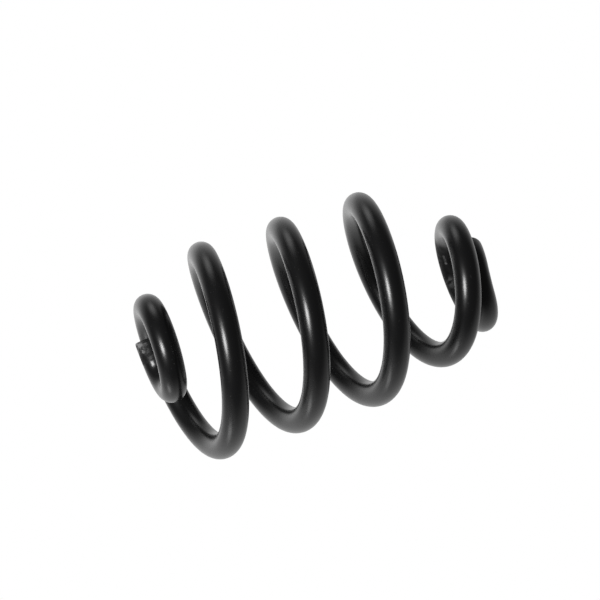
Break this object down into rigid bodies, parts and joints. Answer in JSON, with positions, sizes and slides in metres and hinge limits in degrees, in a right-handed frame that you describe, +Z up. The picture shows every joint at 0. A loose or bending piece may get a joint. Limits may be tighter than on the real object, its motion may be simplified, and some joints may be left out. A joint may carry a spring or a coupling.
{
  "type": "barrel compression spring",
  "caption": "Black coated round-wire barrel spring with two small closed end coils that seat on bolts, as fitted under a cycle saddle.",
  "frame": {"origin": "on the axis of the body coils, level with the lowest point of the foot coil", "axes": "+Z up along the axis of the body coils, from the foot coil with the visible cut end to the top coil; the front strands face -Y"},
  "size_m": [0.0514, 0.0514, 0.0885],
  "materials": {
    "coated_wire": "smooth semi-gloss black coating"
  },
  "bodies": {
    "root": {"spring": "coated_wire"}
  },
  "joints": []
}
